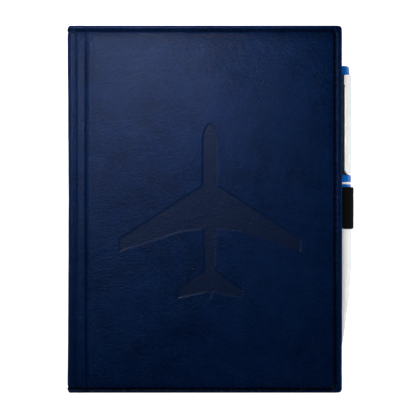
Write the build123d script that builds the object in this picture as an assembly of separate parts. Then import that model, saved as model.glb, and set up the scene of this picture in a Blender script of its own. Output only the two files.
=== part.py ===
from build123d import *
import os

# Pilot logbook: a sewn page block slipped into a padded, stitched wrap cover, with a twist-action
# ballpoint pen in an elastic loop at the fore-edge. Millimetres.
# Frame: origin at the centre of the back cover's outer face. +X runs from the spine to the fore-edge,
# +Y from the tail to the head, +Z from the back cover to the front cover. The book lies closed.

# ---------------------------------------------------------------- driving dimensions
COVER_W = 133.0            # spine edge to fore-edge
COVER_L = 178.0            # tail to head
BOOK_T = 22.8              # closed thickness over both covers

SKIN_T = 0.7               # leatherette
BOARD_T = 1.8
LINING_T = 0.4
LINING_INSET = 0.2         # the lining stops this far inside the cover's edges
WELT_DROP = 0.8            # the sewn border lies this far below the padded field
CORNER_R = 1.8             # fore-edge corners
FIELD_R = 2.5              # corners of the padded field

HINGE_STRIP = 10.5         # boardless strip between the spine edge and the board
ROLL_R = 1.9               # rounded corner between the spine and each cover
HINGE_GAP = 0.1            # between the spine's roll and each cover's strip
GROOVE_FROM_EDGE = (3.4, 9.0)
GROOVE_R = 0.35

FIELD_OVER_HINGE = 0.3     # the padded field starts this far spineward of the board
FIELD_INSET_X = 4.0        # padded field's edge, from the fore-edge
FIELD_INSET_Y = 3.2        # and from the head and the tail
SEAM_FORE = 3.3            # stitch line, from the fore-edge
SEAM_HEAD = 2.3
SEAM_TAIL = 1.8
STITCH_PITCH = 3.4
STITCH_L = 2.6
STITCH_W = 0.5
STITCH_T = 0.3

SPINE_STIFF_T = 0.8
SPINE_LAYER_INSET = 0.7    # of the spine's inner layers, from the head and the tail

SLEEVE_T = 0.35            # clear pocket that holds the block's end card
SLEEVE_LIFT = 0.6          # from the lining up to the pocket's sheet
SLEEVE_MOUTH_X = -10.0     # the pocket is open towards the spine from here
SLEEVE_RIM = 1.0
SLEEVE_INSET_X = 1.2       # from the fore-edge
SLEEVE_INSET_Y = 2.0       # from the head and the tail
CARD_T = 0.5
CARD_GAP = 0.05
CARD_FOLD_INSET = 1.6      # from the page block's folds
CARD_INSET = 0.5           # from its other edges

PAGE_COUNT = 10            # signatures
PAGE_T = 1.25
PAGE_PITCH = 1.3
PAGE_Z0 = 4.85             # underside of the lowest signature
PAGE_FOLD_X = -63.6        # folded edges, at the spine
PAGE_FORE_X = 57.5         # trimmed edges
PAGE_HALF_L = 85.0
FOLD_R = 0.6
TAPE_T = 0.5
TAPE_HALF_L = 83.0
KERF_W = 0.64              # sawn notch for each sewing thread
KERF_DEPTH = 0.8
THREAD_R = 0.28
THREAD_IN_KERF = 0.45      # thread's centre, from the folds
THREAD_STATIONS = (-70.0, -42.0, -14.0, 14.0, 42.0, 70.0)

PEN_X = 66.0               # pen axis, 0.5 mm inside the fore-edge
PEN_Z = 11.0
LOOP_IN_R = 6.1
LOOP_T = 0.7
LOOP_Y0 = -9.5
LOOP_Y1 = 10.7
LOOP_TAIL_X = 57.9         # the loop's two ends are sewn down from here to the fore-edge
LOOP_TAIL_T = 1.2
LOOP_NOTCH_PLAY = 0.7      # round the tail, in the back pocket's sheet
TACK_ROWS = 5
TACK_INSET = 1.0

# pen stations along Y and radii
CROWN_TOP = 70.0
CROWN_BASE = 65.5
CROWN_TOP_R = 4.5
CROWN_BASE_R = 4.9
CROWN_EDGE = 0.6
COLLAR_BASE = 62.4
COLLAR_R = 4.8
UPPER_R = 4.6
UPPER_BASE = 16.7
RING_1_BASE = 13.2
RING_2_BASE = 12.1
RING_3_BASE = 9.0
RING_R = 5.6
TWIST_GAP = 0.1            # running gap between the two halves that turn on each other
BORE_R = 3.7               # hollow of the upper half
SPIGOT_BORE_R = 2.6        # hollow of the lower half
SPIGOT_TOP = 20.0          # the lower half's spigot reaches up to here inside the upper half
LOWER_PROFILE = ((9.0, 5.7), (4.0, 5.9), (-10.0, 5.9), (-26.5, 5.7), (-33.8, 5.3), (-44.9, 4.4), (-51.2, 3.5))
LOWER_BORE = ((-51.2, 1.9), (-44.0, 1.9), (-36.0, SPIGOT_BORE_R))
NOSE_PROFILE = ((-51.2, 3.5), (-57.5, 2.6), (-60.9, 2.15), (-66.5, 1.25))
NOSE_BORE = ((-66.5, 0.85), (-60.0, 0.85), (-58.6, 1.7), (-51.2, 1.9))
REFILL_R = 1.5
REFILL_BORE_R = 1.1
REFILL_TOP = 2.0
REFILL_END = -52.5
POINT_PROFILE = ((-52.5, 1.0), (-54.0, 1.0), (-55.0, 0.55), (-63.5, 0.55), (-64.5, 0.3))
CAM_R = 3.6
CAM_BORE_R = 2.4
CAM_Y0 = 22.0
CAM_Y1 = 42.0
CAM_SLOT_W = 1.2
CAM_SLOT_L = 12.0
CAM_SLOT_TURN = 35.0
FOLLOWER_R = 2.2
FOLLOWER_TOP = 30.0

CLIP_ANGLE = 46.0          # from +Z towards +X, about the pen axis
CLIP_W = 4.9
CLIP_OUT_R = 6.2
CLIP_T = 1.1
CLIP_ROOT_Y = 65.3
CLIP_ROOT_L = 2.4            # block that joins the clip to the collar
CLIP_ROOT_INSET = 0.6
CLIP_ROOT_GAP = 0.15
CLIP_ROOT_LAP = 0.3
CLIP_ROOT_W = 2.9
CLIP_ROUND = 2.35
CLIP_TIP_Y = 17.0
CLIP_BEAD_Y = 20.5         # bead on the clip's inner face, near its tip
CLIP_BEAD_R = 0.6

# recessed aeroplane on the front cover: half outline as (across, along), nose towards the head
DEBOSS_DEPTH = 0.35
DEBOSS_AT = (2.5, -1.5)
DEBOSS_ROUND = 1.0
PLANE_HALF = (
    (3.6, 33.0), (3.6, 13.0), (44.0, -13.0), (44.0, -19.0), (13.0, -9.0), (3.4, -8.0),
    (2.6, -28.0), (15.5, -37.5), (15.5, -41.5), (1.6, -38.5),
)
PLANE_NOSE = 43.0
PLANE_TAIL = -42.0
PLANE_NOSE_Y = 30.0        # corners above this belong to the round nose

# ---------------------------------------------------------------- derived
SPINE_X = -COVER_W / 2
FORE_X = COVER_W / 2
HALF_L = COVER_L / 2
BOARD_X = SPINE_X + HINGE_STRIP
STRIP_X = SPINE_X + ROLL_R + HINGE_GAP
SKIN_Z = -WELT_DROP - SKIN_T               # underside of the border skin, from the outer face
BOARD_Z = SKIN_Z - BOARD_T                 # underside of the board, from the outer face
PANEL_Z = BOARD_Z - LINING_T               # lining's free face, from the outer face
PAGES_MID_Z = PAGE_Z0 + PAGE_COUNT / 2 * PAGE_PITCH - (PAGE_PITCH - PAGE_T) / 2
EPS = 0.5                                  # overshoot of cutting tools


def slab(x0, x1, y0, y1, z0, z1):
    """A box between two corners."""
    return Pos((x0 + x1) / 2, (y0 + y1) / 2, (z0 + z1) / 2) * Box(x1 - x0, y1 - y0, z1 - z0)


def rounded_slab(x0, x1, y0, y1, z0, z1, r):
    """A box between two corners with its four upright edges rounded."""
    body = slab(x0, x1, y0, y1, z0, z1)
    return fillet(body.edges().filter_by(Axis.Z), r)


def fore_rounded_slab(x0, x1, half_l, z0, z1, r):
    """A box whose two upright edges at the fore-edge are rounded."""
    body = slab(x0, x1, -half_l, half_l, z0, z1)
    return fillet(body.edges().filter_by(Axis.Z).sort_by(Axis.X)[-2:], r)


def group(solids):
    """Separate solids that share one node."""
    return Compound(children=list(solids))


def to_front(shape):
    """Places a panel, drawn with its outer face at z = 0, as the front cover."""
    return Pos(0, 0, BOOK_T) * shape


def to_back(shape):
    """Places the same panel as the back cover."""
    return mirror(shape, about=Plane.XY)


# ---------------------------------------------------------------- cover panels
def field_box(inset):
    """x0, x1 and half length of the padded field, drawn in by inset."""
    return BOARD_X - FIELD_OVER_HINGE + inset, FORE_X - FIELD_INSET_X - inset, HALF_L - FIELD_INSET_Y - inset


def panel_skin():
    x0, x1, half = field_box(0)
    field = rounded_slab(x0, x1, -half, half, SKIN_Z, 0, FIELD_R)
    field = fillet(field.faces().sort_by(Axis.Z)[-1].edges(), SKIN_T / 2)
    border = fore_rounded_slab(BOARD_X, FORE_X, HALF_L, BOARD_Z, -WELT_DROP, CORNER_R)
    strip = slab(STRIP_X, BOARD_X + EPS, -HALF_L, HALF_L, SKIN_Z, -WELT_DROP)
    skin = field + border + strip
    fx0, fx1, fhalf = field_box(SKIN_T)
    skin -= rounded_slab(fx0, fx1, -fhalf, fhalf, SKIN_Z, -SKIN_T, FIELD_R - SKIN_T)
    skin -= fore_rounded_slab(BOARD_X, FORE_X - SKIN_T, HALF_L - SKIN_T, BOARD_Z, SKIN_Z, CORNER_R - SKIN_T)
    for from_edge in GROOVE_FROM_EDGE:
        groove = Cylinder(GROOVE_R, COVER_L + EPS, rotation=(90, 0, 0))
        skin -= Pos(SPINE_X + from_edge, 0, -WELT_DROP) * groove
    return skin


def aeroplane():
    """Plan outline of a generic airliner, as a face on XY."""
    nose = Spline((0, PLANE_NOSE), PLANE_HALF[0], tangents=[(1, 0), (0, -1)])
    side = Polyline(*PLANE_HALF, (0, PLANE_TAIL))
    half = Curve() + [nose, side]
    outline = half + mirror(half, about=Plane.YZ)
    face = make_face(outline.edges())
    corners = [v for v in face.vertices() if abs(v.X) > DEBOSS_ROUND and v.Y < PLANE_NOSE_Y]
    return fillet(corners, DEBOSS_ROUND)


def front_skin():
    mark = Pos(DEBOSS_AT[0], DEBOSS_AT[1], -DEBOSS_DEPTH) * extrude(aeroplane(), amount=DEBOSS_DEPTH + EPS)
    return to_front(panel_skin() - mark)


def panel_foam():
    x0, x1, half = field_box(SKIN_T)
    return rounded_slab(x0, x1, -half, half, SKIN_Z, -SKIN_T, FIELD_R - SKIN_T)


def panel_board():
    return fore_rounded_slab(BOARD_X, FORE_X - SKIN_T, HALF_L - SKIN_T, BOARD_Z, SKIN_Z, CORNER_R - SKIN_T)


def panel_lining():
    """Lining sheet: under the board, up the board's edge, and on under the hinge strip."""
    x_step = BOARD_X - LINING_T
    z_strip = SKIN_Z - LINING_T
    x_fore = FORE_X - LINING_INSET
    outline = Polyline(
        (STRIP_X, SKIN_Z), (BOARD_X, SKIN_Z), (BOARD_X, BOARD_Z), (x_fore, BOARD_Z),
        (x_fore, PANEL_Z), (x_step, PANEL_Z), (x_step, z_strip), (STRIP_X, z_strip), close=True,
    )
    profile = Plane.XZ * make_face(outline)
    return extrude(profile, amount=HALF_L - LINING_INSET, both=True)


def panel_sleeve(loop_notch):
    """Pocket sheet with a rim down to the lining at the head, tail and fore-edge."""
    half = HALF_L - SLEEVE_INSET_Y
    x1 = FORE_X - SLEEVE_INSET_X
    top = PANEL_Z - SLEEVE_LIFT
    sheet = slab(SLEEVE_MOUTH_X, x1, -half, half, top - SLEEVE_T, PANEL_Z)
    inner = half - SLEEVE_RIM
    sheet -= slab(SLEEVE_MOUTH_X - EPS, x1 - SLEEVE_RIM, -inner, inner, top, PANEL_Z)
    if loop_notch:
        notch_x = LOOP_TAIL_X - LOOP_NOTCH_PLAY
        notch_y0 = LOOP_Y0 - LOOP_NOTCH_PLAY
        notch_y1 = LOOP_Y1 + LOOP_NOTCH_PLAY
        sheet -= slab(notch_x, FORE_X, notch_y0, notch_y1, top - EPS, PANEL_Z)
    return sheet


def panel_card():
    """The page block's end card, held in the pocket."""
    z1 = PANEL_Z - CARD_GAP
    half = PAGE_HALF_L - CARD_INSET
    return slab(PAGE_FOLD_X + CARD_FOLD_INSET, PAGE_FORE_X - CARD_INSET, -half, half, z1 - CARD_T, z1)


def stitch_row(start, end):
    """Centres of the stitches that fill a straight seam from start to end."""
    count = round(abs(end - start) / STITCH_PITCH)
    step = (end - start) / count
    return [start + (i + 0.5) * step for i in range(count)]


def panel_stitching():
    """Stitches lying on the sewn border, along the head, the fore-edge and the tail."""
    z0 = -WELT_DROP
    z1 = z0 + STITCH_T
    seam_x = FORE_X - SEAM_FORE
    head_y = HALF_L - SEAM_HEAD
    tail_y = SEAM_TAIL - HALF_L
    half_w = STITCH_W / 2
    half_s = STITCH_L / 2
    solids = []
    for y in (head_y, tail_y):
        for x in stitch_row(STRIP_X, seam_x):
            if all(abs(x - SPINE_X - g) > half_s + GROOVE_R for g in GROOVE_FROM_EDGE):
                solids.append(slab(x - half_s, x + half_s, y - half_w, y + half_w, z0, z1))
    for y in stitch_row(tail_y + STITCH_PITCH / 2, head_y - STITCH_PITCH / 2):
        solids.append(slab(seam_x - half_w, seam_x + half_w, y - half_s, y + half_s, z0, z1))
    return group(solids)


# ---------------------------------------------------------------- spine
def spine_skin():
    """Straight back with a rounded roll to each cover, and a sewn channel at the head and the tail."""
    z0 = ROLL_R
    z1 = BOOK_T - ROLL_R
    cx = SPINE_X + ROLL_R
    inner_r = ROLL_R - SKIN_T
    back = slab(SPINE_X, SPINE_X + SKIN_T, -HALF_L, HALF_L, z0, z1)
    for zc, zlow in ((z0, 0.0), (z1, z1)):
        rod = Cylinder(ROLL_R, COVER_L, rotation=(90, 0, 0)) - Cylinder(inner_r, COVER_L, rotation=(90, 0, 0))
        quarter = slab(SPINE_X, cx, -HALF_L, HALF_L, zlow, zlow + ROLL_R)
        back += (Pos(cx, 0, zc) * rod) & quarter
    for y in (HALF_L - SEAM_HEAD, SEAM_TAIL - HALF_L):
        back -= slab(SPINE_X - EPS, SPINE_X + STITCH_T, y - STITCH_W, y + STITCH_W, z0, z1)
    return back


def spine_layer(x0, t):
    half = HALF_L - SPINE_LAYER_INSET
    return slab(x0, x0 + t, -half, half, ROLL_R, BOOK_T - ROLL_R)


def spine_stitching():
    half_s = STITCH_L / 2
    half_w = STITCH_W / 2
    solids = []
    for y in (HALF_L - SEAM_HEAD, SEAM_TAIL - HALF_L):
        for z in stitch_row(ROLL_R, BOOK_T - ROLL_R):
            solids.append(slab(SPINE_X, SPINE_X + STITCH_T, y - half_w, y + half_w, z - half_s, z + half_s))
    return group(solids)


# ---------------------------------------------------------------- page block
def signature(index):
    """One folded gathering of leaves, counted from the back cover."""
    z0 = PAGE_Z0 + index * PAGE_PITCH
    body = slab(PAGE_FOLD_X, PAGE_FORE_X, -PAGE_HALF_L, PAGE_HALF_L, z0, z0 + PAGE_T)
    body = fillet(body.edges().filter_by(Axis.Y).sort_by(Axis.X)[:2], FOLD_R)
    kerf_x = PAGE_FOLD_X + KERF_DEPTH
    kerf_half = KERF_W / 2
    for y in THREAD_STATIONS:
        body -= slab(PAGE_FOLD_X - EPS, kerf_x, y - kerf_half, y + kerf_half, z0 - EPS, z0 + PAGE_T + EPS)
    return body


def spine_tape(z0, z1):
    return slab(PAGE_FOLD_X - TAPE_T, PAGE_FOLD_X, -TAPE_HALF_L, TAPE_HALF_L, z0, z1)


def sewing_thread(z0, z1):
    """One thread down each row of kerfs."""
    x = PAGE_FOLD_X + THREAD_IN_KERF
    zc = (z0 + z1) / 2
    return group(Pos(x, y, zc) * Cylinder(THREAD_R, z1 - z0) for y in THREAD_STATIONS)


# ---------------------------------------------------------------- pen loop
def pen_loop():
    """Elastic band round the pen, with its two ends laid together on the back cover's lining."""
    length = LOOP_Y1 - LOOP_Y0
    mid_y = (LOOP_Y0 + LOOP_Y1) / 2
    z0 = -PANEL_Z
    ring = Cylinder(LOOP_IN_R + LOOP_T, length, rotation=(90, 0, 0))
    tail = slab(LOOP_TAIL_X, PEN_X, LOOP_Y0, LOOP_Y1, z0, z0 + LOOP_TAIL_T)
    loop = Pos(PEN_X, mid_y, PEN_Z) * ring + tail
    return loop - Pos(PEN_X, mid_y, PEN_Z) * Cylinder(LOOP_IN_R, length + EPS, rotation=(90, 0, 0))


def pen_loop_tack():
    z0 = LOOP_TAIL_T - PANEL_Z
    step = (LOOP_Y1 - LOOP_Y0) / TACK_ROWS
    x = LOOP_TAIL_X + TACK_INSET
    solids = []
    for i in range(TACK_ROWS):
        y = LOOP_Y0 + (i + 0.5) * step
        solids.append(slab(x, x + STITCH_W, y - STITCH_L / 2, y + STITCH_L / 2, z0, z0 + STITCH_T))
    return group(solids)


# ---------------------------------------------------------------- pen
def on_pen_axis(shape):
    """Moves a piece drawn about the Y axis on to the pen's axis."""
    return Pos(PEN_X, 0, PEN_Z) * shape


def turned(points):
    """A solid of revolution about Y from (y, radius) points that close on themselves."""
    outline = Polyline(*[(r, y) for y, r in points], close=True)
    return on_pen_axis(revolve(make_face(outline), Axis.Y))


def tube(y0, y1, r_out, r_in):
    return turned(((y0, r_in), (y0, r_out), (y1, r_out), (y1, r_in)))


def pen_crown():
    spigot_r = BORE_R - TWIST_GAP
    spigot_y = COLLAR_BASE
    return turned((
        (spigot_y, 0), (spigot_y, spigot_r), (CROWN_BASE, spigot_r), (CROWN_BASE, CROWN_BASE_R),
        (CROWN_TOP - CROWN_EDGE, CROWN_TOP_R), (CROWN_TOP, CROWN_TOP_R - CROWN_EDGE), (CROWN_TOP, 0),
    ))


def pen_lower_barrel():
    """Tapered front half, with a spigot that turns inside the upper half."""
    spigot_r = BORE_R - TWIST_GAP
    spigot = [(SPIGOT_TOP, SPIGOT_BORE_R), (SPIGOT_TOP, spigot_r), (LOWER_PROFILE[0][0], spigot_r)]
    return turned(spigot + list(LOWER_PROFILE) + list(LOWER_BORE))


def pen_nose_cone():
    return turned(NOSE_PROFILE + NOSE_BORE)


def pen_refill_point():
    """Brass point: a neck that steps down to the writing ball."""
    on_axis = ((POINT_PROFILE[-1][0], 0), (POINT_PROFILE[0][0], 0))
    return turned(POINT_PROFILE + on_axis)


def pen_cam_follower():
    """Plug on the refill's end that the slanting slot of the cam sleeve drives."""
    return tube(REFILL_TOP, FOLLOWER_TOP, FOLLOWER_R, 0)


def pen_cam_sleeve():
    """Tube with a slanting slot for the follower."""
    sleeve = tube(CAM_Y0, CAM_Y1, CAM_R, CAM_BORE_R)
    slot = Box(CAM_SLOT_W, CAM_SLOT_L, CAM_R * 2, rotation=(0, 0, CAM_SLOT_TURN))
    return sleeve - Pos(PEN_X, (CAM_Y0 + CAM_Y1) / 2, PEN_Z + CAM_R) * slot


def pen_clip():
    """Sprung tongue: a curved strip along the barrel, rounded at both ends, with a bead near its tip."""
    length = CLIP_ROOT_Y - CLIP_TIP_Y
    mid_y = (CLIP_ROOT_Y + CLIP_TIP_Y) / 2
    in_r = CLIP_OUT_R - CLIP_T
    root_x = CLIP_ROOT_W / 2
    root_y = CLIP_ROOT_Y - CLIP_ROOT_INSET
    shell = Cylinder(CLIP_OUT_R, length, rotation=(90, 0, 0))
    shell -= Cylinder(in_r, length + EPS, rotation=(90, 0, 0))
    outline = Pos(0, mid_y, 0) * RectangleRounded(CLIP_W, length, CLIP_ROUND)
    tongue = (Pos(0, mid_y, 0) * shell) & extrude(outline, amount=CLIP_OUT_R + EPS)
    root_z = COLLAR_R + CLIP_ROOT_GAP
    root = slab(-root_x, root_x, root_y - CLIP_ROOT_L, root_y, root_z, in_r + CLIP_ROOT_LAP)
    bead = Pos(0, CLIP_BEAD_Y, in_r + CLIP_BEAD_R / 2) * Sphere(CLIP_BEAD_R)
    return on_pen_axis(Rot(0, CLIP_ANGLE, 0) * (tongue + root + bead))


# ---------------------------------------------------------------- write
def build():
    nodes = {
        "back_cover_skin": to_back(panel_skin()),
        "back_foam_pad": to_back(panel_foam()),
        "back_board": to_back(panel_board()),
        "back_lining": to_back(panel_lining()),
        "back_sleeve": to_back(panel_sleeve(True)),
        "back_card": to_back(panel_card()),
        "back_cover_stitching": to_back(panel_stitching()),
        "front_cover_skin": front_skin(),
        "front_foam_pad": to_front(panel_foam()),
        "front_board": to_front(panel_board()),
        "front_lining": to_front(panel_lining()),
        "front_sleeve": to_front(panel_sleeve(False)),
        "front_card": to_front(panel_card()),
        "front_cover_stitching": to_front(panel_stitching()),
        "spine_skin": spine_skin(),
        "spine_stiffener": spine_layer(SPINE_X + SKIN_T, SPINE_STIFF_T),
        "spine_lining": spine_layer(SPINE_X + SKIN_T + SPINE_STIFF_T, LINING_T),
        "spine_stitching": spine_stitching(),
        "pen_loop": pen_loop(),
        "pen_loop_tack": pen_loop_tack(),
        "pen_crown": pen_crown(),
        "pen_clip_collar": tube(COLLAR_BASE, CROWN_BASE, COLLAR_R, BORE_R),
        "pen_upper_barrel": tube(UPPER_BASE, COLLAR_BASE, UPPER_R, BORE_R),
        "pen_upper_ring": tube(RING_1_BASE, UPPER_BASE, RING_R, BORE_R),
        "pen_white_ring": tube(RING_2_BASE + TWIST_GAP, RING_1_BASE, RING_R, BORE_R),
        "pen_cam_sleeve": pen_cam_sleeve(),
        "pen_lower_ring": tube(RING_3_BASE, RING_2_BASE, RING_R, BORE_R),
        "pen_lower_barrel": pen_lower_barrel(),
        "pen_nose_cone": pen_nose_cone(),
        "pen_refill_tube": tube(REFILL_END, REFILL_TOP, REFILL_R, REFILL_BORE_R),
        "pen_refill_point": pen_refill_point(),
        "pen_cam_follower": pen_cam_follower(),
        "pen_clip": pen_clip(),
    }
    half = PAGE_COUNT // 2
    for i in range(PAGE_COUNT):
        nodes["signature_%02d" % (PAGE_COUNT - i)] = signature(i)
    low = PAGE_Z0
    high = PAGE_Z0 + (PAGE_COUNT - 1) * PAGE_PITCH + PAGE_T
    play = (PAGE_PITCH - PAGE_T) / 2
    for name, z0, z1 in (("back", low, PAGES_MID_Z - play), ("front", PAGES_MID_Z + play, high)):
        nodes[name + "_spine_tape"] = spine_tape(z0, z1)
        nodes[name + "_sewing_thread"] = sewing_thread(z0, z1)
    return nodes


os.makedirs("parts", exist_ok=True)
for node, shape in build().items():
    export_step(shape, "parts/" + node + ".step")
    print(node)
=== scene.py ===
import math

import bmesh
import bpy
import numpy as np
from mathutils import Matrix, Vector


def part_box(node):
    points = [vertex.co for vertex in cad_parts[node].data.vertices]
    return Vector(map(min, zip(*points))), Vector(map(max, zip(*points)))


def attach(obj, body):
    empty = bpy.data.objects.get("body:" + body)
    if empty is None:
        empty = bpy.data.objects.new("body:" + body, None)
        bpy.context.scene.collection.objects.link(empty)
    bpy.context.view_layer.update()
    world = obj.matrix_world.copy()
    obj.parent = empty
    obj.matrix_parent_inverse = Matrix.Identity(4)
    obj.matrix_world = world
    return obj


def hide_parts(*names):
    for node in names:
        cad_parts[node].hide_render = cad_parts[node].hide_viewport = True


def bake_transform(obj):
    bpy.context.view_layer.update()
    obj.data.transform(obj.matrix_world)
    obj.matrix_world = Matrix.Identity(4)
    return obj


# The looks of a pilot logbook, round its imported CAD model. Metres, in the CAD frame: +X from the spine to
# the fore-edge, +Y from the tail to the head, +Z from the back cover to the front cover.

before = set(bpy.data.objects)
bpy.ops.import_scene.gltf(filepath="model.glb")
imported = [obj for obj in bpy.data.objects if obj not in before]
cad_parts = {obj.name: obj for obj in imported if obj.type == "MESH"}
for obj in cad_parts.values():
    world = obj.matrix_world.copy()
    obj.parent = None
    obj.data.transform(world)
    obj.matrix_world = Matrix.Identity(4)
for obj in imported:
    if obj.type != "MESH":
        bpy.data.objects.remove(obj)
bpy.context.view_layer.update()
MM = 0.001
rng = np.random.default_rng(20)

# ---------------- sizes from the frame
spine_low, spine_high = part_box("spine_skin")
front_low, front_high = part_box("front_cover_skin")
loop_low, loop_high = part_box("pen_loop")
lower_low, lower_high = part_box("pen_lower_barrel")

SPINE_X = spine_low.x
FORE_X = front_high.x
HALF_L = front_high.y
TOP = spine_high.z
ROLL_R = spine_high.x - spine_low.x
ROLL_X = SPINE_X + ROLL_R
BOARD_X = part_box("front_board")[0].x
WRAP_T = TOP - front_low.z               # depth of a cover's skin, from its outer face
PANEL_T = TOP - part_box("front_lining")[0].z    # and of its lining
PEN_X = (lower_low.x + lower_high.x) / 2
PEN_Z = (lower_low.z + lower_high.z) / 2

# ---------------- sizes of the sewn and padded surface
EDGE_R = 0.9 * MM                        # rounding of the leatherette over the board's edge
CORNER_R = 1.8 * MM
TURN_DEPTH = 1.3 * MM                    # depth of the turned edge where there is no board
TURN_IN = 1.6 * MM                       # how far the leatherette is turned in
SEAM_HEAD = 2.3 * MM
SEAM_TAIL = 1.8 * MM
SEAM_FORE = 3.3 * MM
SEAM_CORNER_R = 2.0 * MM
BORDER_DROP = 0.75 * MM
STITCH_PITCH = 3.4 * MM
STITCH_LENGTH = 2.7 * MM
STITCH_R = 0.27 * MM
SPINE_PINCH = 0.50 * MM                  # the spine edge bows in by this much at mid-length
SPINE_SWELL = 0.22 * MM                  # and stands out by this much at head and tail
SPINE_CORNER_R = 1.1 * MM
GROOVE_AT = 3.4 * MM                     # soft groove and sharp crease of the hinge, from the spine edge
CREASE_AT = 8.95 * MM
RECESS_DEPTH = 0.45 * MM
RECESS_WALL = 0.65 * MM
RECESS_AT = (2.5 * MM, -1.5 * MM)
FINE_STEP = 0.3 * MM                     # the leatherette's grid over the hinge and in the edge zone,
RECESS_STEP = 0.36 * MM                  # round the airliner,
COVER_STEP = 0.9 * MM                    # elsewhere on a cover,
SPINE_STEP = 1.2 * MM                    # and on the spine
EDGE_ZONE = 7 * MM
SIDE_HINT = (0.31, 0.52, 0.79)           # lies along no thread
SPINE_STITCHES = 6
SHEETS = 4                               # folded sheets in a signature
SIGNATURES = 10
SEWING_HOLES = 6
TACKS = 5
RULED_OFFSET = 3.0 * MM                  # middle of a leaf's rules, spineward of the origin
RULED_HALF_X = 54.0 * MM
RULED_HALF_Y = 77.2 * MM
CLIP_ANGLE = 46.0                        # about the pen's axis, from straight up towards the fore-edge
# The pen's lower barrel and nose: (y, radius) in millimetres.
BARREL = ((9.0, 5.7), (4.0, 5.9), (-10.0, 5.9), (-26.5, 5.7), (-33.8, 5.3), (-44.9, 4.4), (-51.2, 3.5))
NOSE = ((-51.2, 3.5), (-57.5, 2.6), (-60.9, 2.15), (-66.5, 1.25))
BORE_END = -36.0 * MM                    # the lower barrel's wide bore ends here,
REFILL_SHOULDER = -58.6 * MM             # the nose's bore narrows here,
REFILL_STOP = -60.0 * MM                 # and is as wide as the point from here on


# ---------------- small helpers
def smoothstep(a, b, x):
    t = np.clip((x - a) / (b - a), 0, 1)
    return t * t * (3 - 2 * t)


def bell(x, centre, width):
    return np.exp(-(((x - centre) / width) ** 2))


def ripples(x, y, wavelength, count, seed):
    """A smooth random field of about unit height, as a sum of plane waves."""
    draw = np.random.default_rng(seed)
    total = np.zeros_like(x)
    for _ in range(count):
        angle = draw.uniform(0, 2 * math.pi)
        wave = 2 * math.pi / (wavelength * draw.uniform(0.7, 1.5))
        total += np.sin(wave * (x * math.cos(angle) + y * math.sin(angle)) + draw.uniform(0, 2 * math.pi))
    return total / math.sqrt(count)


def spaced(stops):
    """Coordinates from stops of (position, spacing up to the next stop)."""
    out = []
    for (a, step), (b, _) in zip(stops, stops[1:]):
        n = max(1, round((b - a) / step))
        out += list(a + (b - a) * np.arange(n) / n)
    return np.array(out + [stops[-1][0]])


def mesh_object(name, points, faces, material, smooth_angle=math.radians(180)):
    mesh = bpy.data.meshes.new(name)
    mesh.from_pydata([tuple(p) for p in points], [], faces)
    mesh.validate()
    obj = bpy.data.objects.new(name, mesh)
    bpy.context.scene.collection.objects.link(obj)
    work = bmesh.new()
    work.from_mesh(mesh)
    bmesh.ops.recalc_face_normals(work, faces=work.faces)
    work.to_mesh(mesh)
    work.free()
    mesh.shade_smooth()
    mesh.set_sharp_from_angle(angle=smooth_angle)
    obj.data.materials.append(material)
    return obj


def grid_faces(cols, rows):
    """Quads of a grid whose point (i, j) is number i * rows + j."""
    return [
        (i * rows + j, (i + 1) * rows + j, (i + 1) * rows + j + 1, i * rows + j + 1)
        for i in range(cols - 1)
        for j in range(rows - 1)
    ]


# ---------------- materials
def set_inputs(node, **values):
    """Sets constants on a node's own sockets; an underscore stands for a space."""
    for name, value in values.items():
        node.inputs[name.replace("_", " ")].default_value = value


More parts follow.
